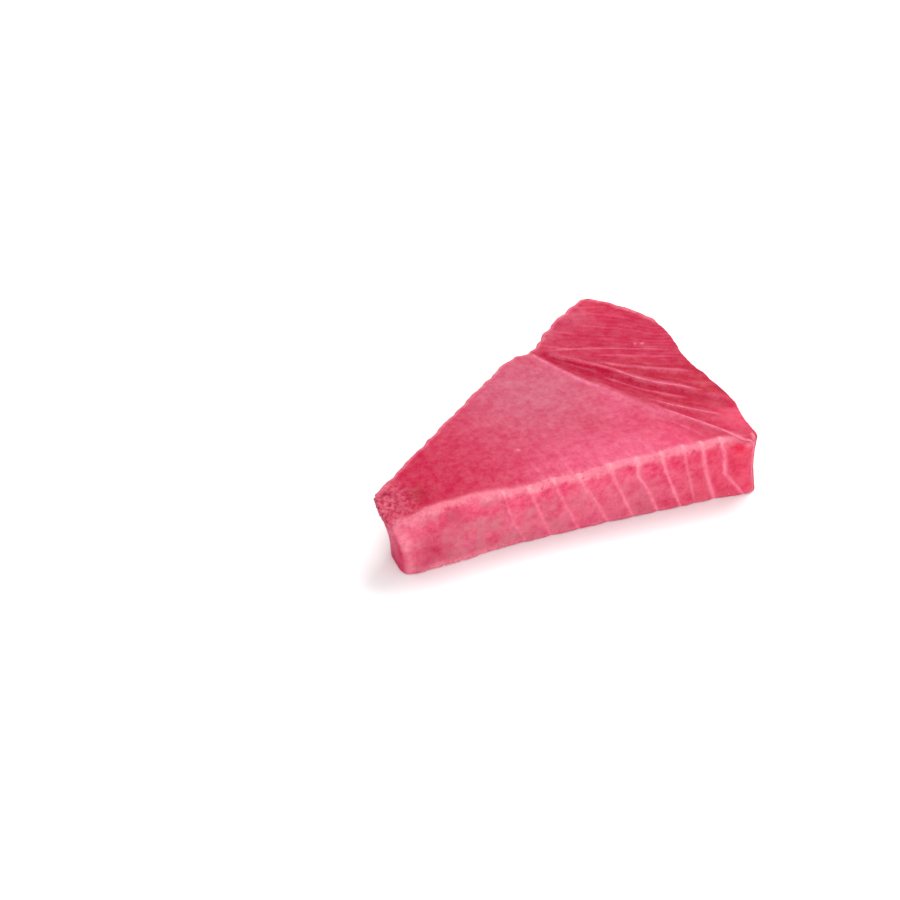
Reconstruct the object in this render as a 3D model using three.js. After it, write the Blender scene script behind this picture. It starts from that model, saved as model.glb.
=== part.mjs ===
// Raw tuna steak: one slab cut straight across a loin, lying flat on its underside.
//
// Millimetres, +Z up. X runs along the long cut side, which faces -Y. The flesh narrows to a
// blunt tail end at -X. At the back a notch, where the spine ran, parts the plain lobe on the
// left from the flaky lobe on the right, and the folds of the flesh fan out from it.
// The origin lies on the underside, below the middle of the slab.

import * as THREE from 'three';
import { LoftGeometry } from 'three/addons/geometries/LoftGeometry.js';
import { mergeGeometries, mergeVertices } from 'three/addons/utils/BufferGeometryUtils.js';

const { smoothstep, lerp, clamp } = THREE.MathUtils;

// Outline seen from above, counter-clockwise from the front corner of the tail end. Its three
// sides, the long cut side, the skin side and the back, start at the corners numbered below it.
const thickness = 28;
const outlineCorners = [
  [-74.8, -53.4], [-70.5, -54.7], [-62, -54.5], [-45, -53.7], [-30, -52], [5, -51.5], [35, -52.4],
  [60, -53.2], [70.5, -54.3], [75, -53.3], [75.6, -48], [74.8, -40], [76, -29], [73.9, -14],
  [71.6, 4], [73, 22.3], [70.3, 35.5], [63.3, 46.8], [56, 54.2], [51, 57.6], [46, 56.3], [39.5, 51],
  [33.6, 47.5], [26, 40.8], [17.2, 30.4], [13.5, 28.8], [6.5, 26.8], [0, 23.2], [-22, 5.9],
  [-48, -15.6], [-71.5, -34.6], [-75.4, -38.6], [-76.4, -44.5], [-76.2, -49.8],
];
const sideStarts = { front: 0, skin: 9, back: 19 };
const notch = new THREE.Vector2(17.2, 30.4);
const tailTip = new THREE.Vector2(-75, -43);

// Walls: the lower edge is nearly square, and the upper one is rounder along the front than along
// the back. The tail end curves in towards its foot, the heel at the other end of the long cut
// side spreads a little at its foot, and the skin side has a slight waist.
const lowerEdgeRadius = 0.9;
const upperEdgeRadius = { front: 2.2, back: 1.1, fromFacing: -0.35, toFacing: 0.35 };
const tailUndercut = { shift: 6.2, fromX: -54, toX: -73 };
const heelSpread = { shift: 1.5, fromX: 58, toX: 73, fromY: -20, toY: -46 };
const skinWaist = 0.9;

// Seams of connective tissue on the long cut side: where each one lies at the four heights.
// The muscle swells between two seams, and the last place is the end of the side.
const seamHeights = [28, 20, 12, 0];
const seamPlaces = [
  [-30.6, -28.5, -26, -20.2], [-19.8, -17.6, -14.4, -9.8], [-9.9, -7.3, -3.9, 1.6],
  [0.2, 3, 8, 13.7], [13.2, 15.6, 18.9, 24], [24.2, 24.6, 29.4, 34.2],
  [33.8, 35.9, 39, 43.8], [43, 44.7, 46.6, 49.7], [50.5, 51.9, 53.8, 57.9],
  [58.3, 60.4, 61, 69.4], [74, 74, 74, 74],
];
const muscleSwell = 0.55;

// Upper face: a low crown, and folds that fan out from the notch towards the heel
const crown = { height: 0.8, x: -2, y: -16, reach: 62 };
const folds = [
  { start: [16, 26], middle: [25, 2.5], end: [41, -22], height: 0.5, width: 2.8 },
  { start: [17, 28], middle: [37, 0], end: [62, -27], height: -0.7, width: 5.5 },
  { start: [17, 27.5], middle: [30.5, 6.5], end: [61.4, -20.3], height: -0.6, width: 2.8 },
  { start: [34, 12.5], middle: [54, 1], end: [70, -7.3], height: 0.45, width: 2.4 },
  { start: [17, 29], middle: [45, -1.8], end: [67, -20], height: 0.9, width: 2.6 },
  { start: [40.8, -14.7], middle: [54, -26.5], end: [68, -36.4], height: 0.45, width: 2.4 },
  { start: [41.8, -20.8], middle: [56, -40], end: [68.5, -54], height: 0.6, width: 2.6 },
  { start: [38, -22], middle: [49.6, -35.7], end: [56.5, -50], height: 0.4, width: 2.4 },
];
const foldFade = { start: 0.06, end: 0.2 };

// Flaky lobe: furrows from its cut edge beside the notch to the skin side, drawn evenly between
// the lowest one, which starts at the notch, and the highest one, near the tip
const furrows = { count: 7, depth: 0.35, width: 1.4 };
const lowestFurrow = { start: [18, 28.5], middle: [43, 14], end: [71, 3.3] };
const highestFurrow = { start: [41, 50], middle: [58.5, 42.8], end: [70.5, 31] };

// Torn flesh on the tail end. The long upper edge sags by the depths given along it, and has two
// dents. All of this fades out inwards from the edge.
const tear = { height: 0.5, wave: 6.4, reach: 19 };
const frontEdge = { y: -53, reach: 12 };
const sagPlaces = [
  [-76, 1.9], [-68, 2.5], [-63, 1], [-57, -0.6], [-50, -0.6], [-43, -0.6], [-38, 0.3], [-31, 2],
  [-24, 2.8], [-8, 3.2], [10, 2.9], [17, 1.3], [33, 1.6], [38, 0.1],
];
const dents = [{ depth: 1.1, x: -20, halfWidth: 5 }, { depth: 0.8, x: 2.5, halfWidth: 3.5 }];

// Raggedness of the cut outline: waves along it, deepest beside the notch and shallow on the
// sides that face the front and the skin
const raggedWaves = [
  { length: 23, depth: 0.22, phase: 0.4 },
  { length: 11, depth: 0.16, phase: 2.1 },
  { length: 7.3, depth: 0.13, phase: 4.4 },
];
const notchRaggedness = { factor: 2.2, reach: 26 };
const smoothSide = { factor: 0.3, fromFacing: 0.6, toFacing: -0.2 };

// Mesh
const sideSteps = 82;
const samplesPerCorner = 24;
const wallSteps = 5;
const rimSteps = 3;
const foldSamples = 64;
const evenPasses = 240;
const weldDistance = 1e-4;

const fullTurn = 2 * Math.PI;

// One wave of a bumpy surface, in the range -1 to 1.
function ripple(position, length, phase = 0) {
  return Math.sin((position / length) * fullTurn + phase);
}

// A fold as a curve through its three points, sampled once.
function sampleFold({ start, middle, end, height, width }) {
  const from = new THREE.Vector2(...start);
  const to = new THREE.Vector2(...end);
  const control = new THREE.Vector2(...middle).multiplyScalar(2);
  control.sub(from.clone().add(to).multiplyScalar(0.5));
  const points = new THREE.QuadraticBezierCurve(from, control, to).getPoints(foldSamples);
  return { points, height, width };
}

// The furrow at a share of the way from the lowest to the highest.
function furrowAt(share) {
  const between = (key) => lowestFurrow[key].map((low, axis) => lerp(low, highestFurrow[key][axis], share));
  return {
    start: between('start'),
    middle: between('middle'),
    end: between('end'),
    height: -furrows.depth,
    width: furrows.width,
  };
}

const furrowShares = Array.from({ length: furrows.count }, (_, index) => index / (furrows.count - 1));
const sampledFolds = [...folds, ...furrowShares.map(furrowAt)].map(sampleFold);

// Height that one fold adds at a place: a soft ridge or groove that fades out at both ends.
function foldRelief(place, { points, height, width }) {
  let nearest = Infinity;
  let along = 0;
  points.forEach((point, index) => {
    const distance = point.distanceTo(place);
    if (distance < nearest) {
      nearest = distance;
      along = index / foldSamples;
    }
  });
  const fade = smoothstep(along, 0, foldFade.start) * smoothstep(1 - along, 0, foldFade.end);
  return height * fade * Math.exp(-((nearest / width) ** 2));
}

// How far the long upper edge lies below the rest of the face, at a place along it.
function sagAt(x) {
  const found = sagPlaces.findIndex(([place]) => place > x);
  const next = found < 0 ? sagPlaces.length - 1 : Math.max(found, 1);
  const [start, low] = sagPlaces[next - 1];
  const [end, high] = sagPlaces[next];
  let sag = lerp(low, high, clamp((x - start) / (end - start), 0, 1));
  for (const dent of dents) sag += dent.depth * Math.exp(-(((x - dent.x) / dent.halfWidth) ** 2));
  return sag;
}

// Height of the upper face above the underside.
function topHeight(place) {
  const fromCrown = Math.hypot(place.x - crown.x, place.y - crown.y) / crown.reach;
  let height = thickness + crown.height * (Math.exp(-(fromCrown ** 2)) - 0.5);
  for (const fold of sampledFolds) height += foldRelief(place, fold);
  const torn = 1 - smoothstep(place.distanceTo(tailTip), 0, tear.reach);
  height += tear.height * torn * ripple(place.x, tear.wave) * ripple(place.y, tear.wave, 1);
  const nearEdge = 1 - smoothstep(place.y, frontEdge.y, frontEdge.y + frontEdge.reach);
  return height - nearEdge * sagAt(place.x);
}

// The closed outline as equal steps along each side, with the outward direction at each point.
function traceOutline() {
  const corners = outlineCorners.map(([x, y]) => new THREE.Vector3(x, y, 0));
  const curve = new THREE.CatmullRomCurve3(corners, true, 'centripetal');
  curve.arcLengthDivisions = corners.length * samplesPerCorner;
  const lengths = curve.getLengths();
  const length = lengths.at(-1);
  const starts = Object.values(sideStarts).map((corner) => lengths[corner * samplesPerCorner] / length);
  const shares = starts.flatMap((start, side) => {
    const end = starts[side + 1] ?? 1;
    return Array.from({ length: sideSteps }, (_, step) => lerp(start, end, step / sideSteps));
  });
  const places = shares.map((share) => curve.getPointAt(share));
  return places.map((place, index) => {
    const before = places.at(index - 1);
    const after = places[(index + 1) % places.length];
    const outward = new THREE.Vector2(after.y - before.y, before.x - after.x).normalize();
    const plan = new THREE.Vector2(place.x, place.y);
    const besideNotch = 1 - smoothstep(plan.distanceTo(notch), 0, notchRaggedness.reach);
    const towardsBack = smoothstep(outward.y, smoothSide.toFacing, smoothSide.fromFacing);
    const sideFactor = lerp(smoothSide.factor, 1, towardsBack);
    const factor = sideFactor * lerp(1, notchRaggedness.factor, besideNotch);
    for (const wave of raggedWaves) {
      const waves = Math.round(length / wave.length);
      plan.addScaledVector(outward, factor * wave.depth * ripple(shares[index] * waves, 1, wave.phase));
    }
    return { plan, outward };
  });
}

// Where a seam lies at a height, in straight runs between the heights that are given.
function seamAt(places, height) {
  const found = seamHeights.findIndex((low) => low <= height);
  const lower = found < 0 ? seamHeights.length - 1 : Math.max(found, 1);
  const share = (height - seamHeights[lower]) / (seamHeights[lower - 1] - seamHeights[lower]);
  return lerp(places[lower], places[lower - 1], clamp(share, 0, 1));
}

// How far the muscle swells out of the long wall at a place, from its nearest two seams.
function swellBetweenSeams(x, height) {
  const seams = seamPlaces.map((places) => seamAt(places, height));
  const next = seams.findIndex((seam) => seam > x);
  if (next < 1) return 0;
  const across = (x - seams[next - 1]) / (seams[next] - seams[next - 1]);
  return muscleSwell * Math.sqrt(Math.sin(Math.PI * across));
}

// A point of the wall, from its place on the outline and its height.
function wallPoint({ plan, outward }, height, inset) {
  const depth = clamp(1 - height / thickness, 0, 1);
  const facingFront = clamp(-outward.y, 0, 1) ** 2;
  const facingSkin = clamp(outward.x, 0, 1) ** 2;
  let offset = facingFront * swellBetweenSeams(plan.x, height) - inset;
  offset -= facingSkin * skinWaist * Math.sin(Math.PI * depth);
  const atTail = smoothstep(-plan.x, -tailUndercut.fromX, -tailUndercut.toX);
  const atHeel = smoothstep(plan.x, heelSpread.fromX, heelSpread.toX)
    * smoothstep(-plan.y, -heelSpread.fromY, -heelSpread.toY);
  const undercut = tailUndercut.shift * atTail * Math.sin((Math.PI / 2) * depth);
  const shift = undercut + heelSpread.shift * atHeel * depth;
  return new THREE.Vector3(
    plan.x + offset * outward.x + shift,
    plan.y + offset * outward.y,
    height,
  );
}

// The rings of the wall, from the underside up over the rounded upper edge.
function makeWallRings(outline) {
  const edges = outline.map((spot) => {
    const { front, back, fromFacing, toFacing } = upperEdgeRadius;
    const radius = lerp(front, back, smoothstep(spot.outward.y, fromFacing, toFacing));
    const inner = spot.plan.clone().addScaledVector(spot.outward, -radius);
    return { spot, radius, top: topHeight(inner) };
  });
  const rings = [outline.map((spot) => wallPoint(spot, 0, lowerEdgeRadius))];
  for (let step = 0; step <= wallSteps; step++) {
    rings.push(edges.map(({ spot, radius, top }) => {
      const height = lerp(lowerEdgeRadius, top - radius, step / wallSteps);
      return wallPoint(spot, height, 0);
    }));
  }
  for (let step = 1; step <= rimSteps; step++) {
    const angle = (step / rimSteps) * (Math.PI / 2);
    rings.push(edges.map(({ spot, radius, top }) => {
      const height = top - radius * (1 - Math.sin(angle));
      return wallPoint(spot, height, radius * (1 - Math.cos(angle)));
    }));
  }
  return rings;
}

// The upper face: a three-sided net of points. Row 0 lies on the front rim, and each further
// row has one point less, up to the single one at the tip. Inner points are evened out between
// their six neighbours and lifted to their height.
function makeTop(rim) {
  const rows = [rim.slice(0, sideSteps + 1)];
  for (let row = 1; row < sideSteps; row++) {
    const first = rim[rim.length - row];
    const last = rim[sideSteps + row];
    const gaps = sideSteps - row;
    const pointAt = (_, gap) => first.clone().lerp(last, (gap + 1) / gaps);
    rows.push([first, ...Array.from({ length: gaps - 1 }, pointAt), last]);
  }
  rows.push([rim[2 * sideSteps]]);
  for (let pass = 0; pass < evenPasses; pass++) {
    forEachInnerPoint(rows, (point, row, column) => {
      point.addVectors(rows[row][column - 1], rows[row][column + 1]);
      point.add(rows[row + 1][column - 1]).add(rows[row + 1][column]);
      point.add(rows[row - 1][column]).add(rows[row - 1][column + 1]);
      point.multiplyScalar(1 / 6);
    });
  }
  forEachInnerPoint(rows, (point) => {
    point.z = topHeight(new THREE.Vector2(point.x, point.y));
  });

  const facets = [];
  let start = 0;
  for (let row = 0; row < sideSteps; row++) {
    const gaps = sideSteps - row;
    const next = start + gaps + 1;
    for (let column = 0; column < gaps; column++) {
      facets.push(start + column, start + column + 1, next + column);
      if (column < gaps - 1) facets.push(start + column + 1, next + column + 1, next + column);
    }
    start = next;
  }
  return new THREE.BufferGeometry().setFromPoints(rows.flat()).setIndex(facets);
}

// Runs an action on each point of the net that isn't on its rim.
function forEachInnerPoint(rows, action) {
  for (let row = 1; row < sideSteps; row++) {
    for (let column = 1; column < sideSteps - row; column++) action(rows[row][column], row, column);
  }
}

// The slab, closed and centred on its origin, in the colour of raw flesh.
function makeSteak() {
  const rings = makeWallRings(traceOutline());
  const wall = new LoftGeometry(rings, { closed: true, capStart: true });
  wall.deleteAttribute('normal');
  wall.deleteAttribute('uv');
  const skin = mergeGeometries([wall, makeTop(rings.at(-1))]);
  const slab = mergeVertices(skin, weldDistance);
  slab.computeBoundingBox();
  const middle = slab.boundingBox.getCenter(new THREE.Vector3());
  slab.translate(-middle.x, -middle.y, 0);
  slab.computeVertexNormals();

  const flesh = new THREE.MeshStandardMaterial({ color: 0xe2607f, roughness: 0.42, metalness: 0 });
  const mesh = new THREE.Mesh(slab, flesh);
  mesh.name = 'tuna_steak';
  return mesh;
}

const steak = new THREE.Group();
steak.add(makeSteak());

export default steak;
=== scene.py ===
import math

import bpy
import numpy as np
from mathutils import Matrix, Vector, kdtree, noise


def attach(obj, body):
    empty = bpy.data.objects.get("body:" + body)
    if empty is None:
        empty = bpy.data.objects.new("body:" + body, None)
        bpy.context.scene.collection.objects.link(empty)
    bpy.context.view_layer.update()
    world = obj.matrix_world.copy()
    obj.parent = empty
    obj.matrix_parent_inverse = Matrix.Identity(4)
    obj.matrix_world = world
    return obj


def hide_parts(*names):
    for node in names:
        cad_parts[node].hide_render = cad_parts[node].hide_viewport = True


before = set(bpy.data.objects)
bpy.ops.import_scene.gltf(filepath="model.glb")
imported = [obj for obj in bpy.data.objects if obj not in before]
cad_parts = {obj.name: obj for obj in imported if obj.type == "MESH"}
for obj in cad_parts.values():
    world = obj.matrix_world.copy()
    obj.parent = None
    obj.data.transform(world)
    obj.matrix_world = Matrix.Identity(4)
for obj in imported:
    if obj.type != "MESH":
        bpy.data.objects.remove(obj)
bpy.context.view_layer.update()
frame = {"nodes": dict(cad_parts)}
scene = bpy.context.scene
mm = 0.001  # every length below is in millimetres
fullTurn = 2 * math.pi
print("frame loaded:", ", ".join(frame["nodes"]))


def smoothstep(value, low, high):
    share = np.clip((value - low) / (high - low), 0, 1)
    return share * share * (3 - 2 * share)


def ripple(position, length, phase=0.0):
    return np.sin(position / length * fullTurn + phase)


def hump(distance, reach):
    return np.exp(-((distance / reach) ** 2))


def lumps(places, size, octaves=1, shift=0.0):
    # a solid pattern of lumps about that size, from -1 to 1
    offset = Vector((shift, 2.7 * shift, -1.3 * shift))
    return np.array([noise.fractal(Vector(place) / size + offset, 1.0, 2.0, octaves) for place in places])


def bowThrough(start, middle, end, steps=48):
    # an even curve through three points
    start, middle, end = (np.array(point, float) for point in (start, middle, end))
    pull = 2 * middle - (start + end) / 2
    share = np.linspace(0, 1, steps + 1)[:, None]
    return (1 - share) ** 2 * start + 2 * share * (1 - share) * pull + share ** 2 * end


def lengthsAlong(path):
    return np.concatenate([[0], np.cumsum(np.linalg.norm(np.diff(path, axis=0), axis=1))])


def nearestOnPath(places, path):
    # distance to a path, and how far along it the nearest point lies, from 0 to 1
    best = np.full(len(places), np.inf)
    along = np.zeros(len(places))
    for index, (start, run) in enumerate(zip(path, np.diff(path, axis=0))):
        share = np.clip((places - start) @ run / (run @ run), 0, 1)
        gap = np.linalg.norm(places - start - share[:, None] * run, axis=1)
        closer = gap < best
        best[closer] = gap[closer]
        along[closer] = (index + share[closer]) / (len(path) - 1)
    return best, along


slab = {
    "thickness": 28,
    # the outline seen from above, counter-clockwise from the front corner of the tail end
    "corners": [
        (-74.8, -53.4), (-70.5, -54.7), (-62, -54.5), (-45, -53.7), (-30, -52), (5, -51.5), (35, -52.4),
        (60, -53.2), (70.5, -54.3), (75, -53.3), (75.6, -48), (74.8, -40), (76, -29), (73.9, -14),
        (71.6, 4), (73, 22.3), (70.3, 35.5), (63.3, 46.8), (56, 54.2), (51, 57.6), (46, 56.3), (39.5, 51),
        (33.6, 47.5), (26, 40.8), (17.2, 30.4), (13.5, 28.8), (6.5, 26.8), (0, 23.2), (-22, 5.9),
        (-48, -15.6), (-71.5, -34.6), (-75.4, -38.6), (-76.4, -44.5), (-76.2, -49.8),
    ],
    "sideStarts": (0, 9, 19),  # the corners where the front, the skin side and the back start
    "notch": (17.2, 30.4), "tailTip": (-75, -43),
    "lowerRadius": 0.9, "upperRadius": 2.2, "backRadius": 1.1,
    "backTurn": (-0.35, 0.35),  # how far outward y turns as the upper radius goes over to the back's
    "undersideRim": 1.5,
    # how the wall departs from upright, and the stretches along x and y over which that grows
    "tailUndercut": 6.2, "tailFrom": (54, 73),
    "heelSpread": 1.5, "spreadFromX": (58, 73), "spreadFromY": (20, 46),
    "heelPinch": 1.1, "heelWaist": 0.8, "pinchFromX": (66, 74), "pinchFromY": (36, 48),
    "skinWaist": 0.9,
    "crownHeight": 0.8, "crownCentre": (-2, -16), "crownReach": 62,
    "raggedWaves": [(23, 0.22, 0.4), (11, 0.16, 2.1), (7.3, 0.13, 4.4)],
    "raggedLumps": 0.28, "raggedLumpSize": 3.1,
    "raggedAtNotch": 2.2, "raggedReach": 26, "raggedSides": 0.3, "raggedTurn": (-0.2, 0.6),
    "sideSteps": 286, "lowerRows": 3, "wallRows": 46, "upperRows": 6, "evenPasses": 2400,
}

# folds of the upper face, fanning out from the notch: a bow through three points, height, width
folds = {
    "notchSeam": ([(16, 26), (25, 2.5), (41, -22)], 0.45, 2.4),
    "valley": ([(17, 28), (37, 0), (62, -27)], -0.6, 5.5),
    "groove": ([(17, 27.5), (30.5, 6.5), (61.4, -20.3)], -0.6, 2.1),
    "upperEdge": ([(34, 12.5), (54, 1), (70, -7.3)], 0.4, 1.7),
    "brightEdge": ([(17, 29), (45, -1.8), (67, -20)], 0.75, 1.8),
    "middleEdge": ([(40.8, -14.7), (54, -26.5), (68, -36.4)], 0.35, 1.8),
    "cornerEdge": ([(41.8, -20.8), (56, -40), (68.5, -54)], 0.5, 2),
    "lowerEdge": ([(38, -22), (49.6, -35.7), (56.5, -50)], 0.3, 1.8),
}
foldFade = {"start": 0.06, "end": 0.2}

# flakes of the right lobe: fine furrows from its cut edge to the skin side, between two bows
flakes = {
    "lowest": [(18, 28.5), (43, 14), (71, 3.3)],
    "highest": [(41, 50), (58.5, 42.8), (70.5, 31)],
    "count": 11, "depth": 0.12, "fadeBelow": 7, "fadeAbove": 5, "wobble": 0.35, "wobbleSize": 9,
}

# pale threads of the upper face: a bow through three points, half its width, and how clear it is
threads = {
    "notchStart": ([(13.4, 26.4), (16.2, 18.9), (19.3, 12)], 0.6, 0.95),
    "notch": ([(13.4, 26.4), (22, 6.3), (31, -7)], 1.0, 0.8),
    "notchFront": ([(26, 0.5), (37.4, -18.2), (49.7, -36)], 3.0, 0.42),
    "brightStart": ([(18.9, 25), (31, 13.6), (45, -2)], 0.8, 0.45),
    "bright": ([(38, 6.5), (49.5, -7.4), (67, -20.2)], 0.7, 0.65),
    "upper": ([(37, 10.6), (52.1, 1.2), (71, -8)], 0.6, 0.45),
    "lobeFoot": ([(19, 27), (41, 20.4), (69, 9.4)], 0.55, 0.45),
    "lobeSecond": ([(36, 17), (54, 10.2), (70, 3.5)], 0.5, 0.35),
    "third": ([(34, 4), (46, -11), (61, -24)], 0.6, 0.4),
    "middle": ([(43, -17.5), (55.5, -29.2), (68, -38.6)], 0.65, 0.45),
    "corner": ([(45, -25.8), (57.5, -41.8), (68.5, -55)], 0.75, 0.55),
    "lower": ([(41, -28.5), (48.6, -38.5), (55, -50)], 0.6, 0.3),
    # the seams of the cut side, going on a little way over the upper face
    "seam1": ([(-23.1, -46.6), (-21.4, -50.8), (-20, -54)], 0.6, 0.4),
    "seam2": ([(-15, -40), (-12.9, -45.9), (-10.4, -52)], 0.6, 0.35),
    "seam3": ([(-3, -41), (-1.6, -46.9), (0, -53)], 0.6, 0.45),
    "seam4": ([(10.6, -44), (11.8, -48.9), (13, -53)], 0.6, 0.35),
    "seam5": ([(19, -39), (21.7, -45.7), (24.5, -52)], 0.6, 0.4),
    "seam6": ([(28, -37), (30.4, -44.3), (33, -52)], 0.6, 0.35),
}

# hollows beside the threads, given in the same way; the flesh is painted darker in them as shade
hollows = {
    "notch": ([(16, 25), (25.5, 12.4), (35, 1.2)], 1.5, 1),
    "bright": ([(31, 10), (45.2, -7.4), (59, -19.5)], 0.9, 0.9),
    "upper": ([(44, 5.5), (52.8, -2.1), (62, -9.5)], 0.9, 0.55),
    "outer": ([(56, -14.5), (67, -26.4), (73.5, -35)], 2.4, 0.75),
    "corner": ([(50, -34), (59.5, -46), (66, -54)], 1.5, 0.6),
    "lobe": ([(24, 28), (46, 21.5), (69, 13)], 0.8, 0.3),
}
threadRise = 0.14
hollowFall = 0.22
threadFade = 0.16  # the share of its length over which a thread or hollow fades at each end

# the way the fibres run: counts that are whole along lines, left of the notch seam, in the fan
# between that seam and the lobe, and over the lobe
grain = {
    "seam": [(13, 29), (15.7, 20), (19.6, 11.1), (27, -1), (37.4, -18), (48.2, -38), (54, -52)],
    "spacing": 2.2, "fanLines": 8,
}

# seams of the long cut side: where each lies at four heights, and how the flesh swells between them
seams = {
    "heights": (28, 20, 12, 0),
    "places": [
        (-30.6, -28.5, -26.0, -20.2), (-19.8, -17.6, -14.4, -9.8), (-9.9, -7.3, -3.9, 1.6),
        (0.2, 3.0, 8.0, 13.7), (13.2, 15.6, 18.9, 24.0), (24.2, 24.6, 29.4, 34.2),
        (33.8, 35.9, 39.0, 43.8), (43.0, 44.7, 46.6, 49.7), (50.5, 51.9, 53.8, 57.9),
        (58.3, 60.4, 61.0, 69.4), (74, 74, 74, 74),
    ],
    "swell": 0.55,
    "faint": 7, "broad": 8,  # the seam that hardly shows, and the broadest one
}

# the torn tail end: its waves and how far they reach, the lumps of its pulp, and the heights
# between which it fades in
tear = {
    "height": 0.5, "wave": 6.4, "whole": 4.5, "reach": 18, "lumpHeight": 0.7, "lumpSize": 1.5,
    "goneBelow": 12, "fullAbove": 24,
}
# the long upper edge: how far it sags along its length, and its dents; both fade inwards from it
frontEdge = {
    "y": -53, "reach": 12,
    "sag": [
        (-76, 1.9), (-68, 2.5), (-63, 1), (-57, -0.6), (-50, -0.6), (-43, -0.6), (-38, 0.3), (-31, 2),
        (-24, 2.8), (-8, 3.2), (10, 2.9), (17, 1.3), (33, 1.6), (38, 0.1),
    ],
    "dents": [(-20, 1.1, 5), (2.5, 0.8, 3.5)],
}
# relief finer than the form: how high each kind of lump is, its size, and where it lies from the rim
finish = {
    "grain": 0.07, "grainSize": 1.5, "swell": 0.2, "swellSize": 7,
    "ridge": 0.34, "ridgeSize": 2.6, "ridgeAt": 0.3, "ridgeReach": 1.7,
    "knot": 0.5, "knotAt": -0.4, "knotReach": 1.3, "foot": 0.45, "footSize": 1.6,
    "calmTo": 1.2,  # the height up to which all of it but the foot's is held back
    # the stretch where the ridge is ragged
    "ragged": {"x": -6, "halfWidth": 17, "ridge": 0.55, "size": 1.7},
}

# pale specks on the upper face: where each lies and its reach
specks = [(58.5, 17.9, 0.8), (55.9, 18.6, 0.6), (-16, -32, 1.0)]
# torn fibres: how they are made and spread, and the height that most of them lie at
shreds = {
    "perSquareMm": 2.4, "length": 1.3, "girth": 0.2, "smallest": 0.4, "unevenness": 1.6, "seed": 9,
    "height": 1.9, "spread": 0.4, "sides": 5, "steps": 5, "tip": 0.15, "lean": 0.3, "width": (0.7, 1.6),
    "bend": {"Start": (-0.5, 0, -0.08), "Middle": (0, 0.12, 0.26), "End": (0.5, 0, -0.05)},
    # places on the ridge where they gather, with a reach and a share
    "heaps": [((0, -51.5, 24.5), 3, 0.35), ((4.5, -51, 24.8), 2.2, 0.35), ((-12, -52, 24.8), 4, 0.25)],
}
# the frayed stretch of the lower front edge: where it fades in and out, what is left of it beyond
# each end, and how far up it reaches
fray = {"fromX": (-20, -36), "before": 0.25, "toX": (-66, -58), "after": 0.3, "height": 4.5}


def foldRelief(places):
    relief = np.zeros(len(places))
    for bow, height, width in folds.values():
        gap, along = nearestOnPath(places, bowThrough(*bow))
        fade = smoothstep(along, 0, foldFade["start"]) * smoothstep(1 - along, 0, foldFade["end"])
        relief += height * fade * hump(gap, width)
    return relief


def clearLines(places, lines):
    # how clearly the nearest of some threads or hollows shows, from 0 to 1
    clear = np.zeros(len(places))
    for bow, reach, share in lines.values():
        gap, along = nearestOnPath(places, bowThrough(*bow, steps=16))
        fade = smoothstep(along * (1 - along), 0, threadFade * (1 - threadFade))
        clear = np.maximum(clear, share * fade * hump(gap, reach))
    return clear


def paleLines(places):
    clear = clearLines(places, threads)
    for x, y, reach in specks:
        clear = np.maximum(clear, hump(np.linalg.norm(places - (x, y), axis=1), reach))
    return clear


def flakeCount(places):
    # a count over the right lobe that is whole at each furrow, and how clear the furrows are
    lowest, highest = bowThrough(*flakes["lowest"]), bowThrough(*flakes["highest"])
    spacing = nearestOnPath(highest, lowest)[0].mean() / flakes["count"]
    lower, _ = nearestOnPath(places, lowest)
    upper, _ = nearestOnPath(places, highest)
    belowLowest = places[:, 1] < np.interp(places[:, 0], *lowest.T)
    aboveHighest = ~belowLowest & (lower > upper) & (places[:, 1] > np.interp(places[:, 0], *highest.T))
    count = flakes["count"] * lower / (lower + upper)
    count = np.where(belowLowest, -lower / spacing, count)
    count = np.where(aboveHighest, flakes["count"] + upper / spacing, count)
    clear = np.where(belowLowest, 1 - smoothstep(lower, 0, flakes["fadeBelow"]), 1.0)
    clear = np.where(aboveHighest, 1 - smoothstep(upper, 0, flakes["fadeAbove"]), clear)
    scaled = places / flakes["wobbleSize"]
    wobble = np.array([noise.noise(Vector((x, y, 0.3))) for x, y in scaled])
    return count + flakes["wobble"] * wobble, clear


def grainCount(places):
    x, y = places.T
    past = x - np.interp(-y, *(np.array(grain["seam"]) * (1, -1)).T[::-1])
    count, _ = flakeCount(places)
    lower, _ = nearestOnPath(places, bowThrough(*flakes["lowest"]))
    fan = grain["fanLines"] * past / np.maximum(past + lower, 0.01)
    return np.where(past < 0, past / grain["spacing"], np.where(count < 0, fan, grain["fanLines"] + count))


def tornShare(places):
    gap = np.linalg.norm(places - slab["tailTip"], axis=1)
    return 1 - smoothstep(gap, tear["whole"], tear["reach"])


def topHeight(places):
    # height of the upper face above the underside
    x, y = places.T
    gap = np.linalg.norm(places - slab["crownCentre"], axis=1)
    height = slab["thickness"] + slab["crownHeight"] * (hump(gap, slab["crownReach"]) - 0.5)
    height += foldRelief(places)
    height += threadRise * paleLines(places) - hollowFall * clearLines(places, hollows)
    height += tear["height"] * tornShare(places) * ripple(x, tear["wave"]) * ripple(y, tear["wave"], 1)
    sag = np.interp(x, *np.array(frontEdge["sag"]).T)
    sag += sum(depth * hump(x - place, halfWidth) for place, depth, halfWidth in frontEdge["dents"])
    height -= sag * (1 - smoothstep(y, frontEdge["y"], frontEdge["y"] + frontEdge["reach"]))
    count, clear = flakeCount(places)
    return height - flakes["depth"] * clear * (0.5 + 0.5 * np.cos(count * fullTurn))


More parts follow.
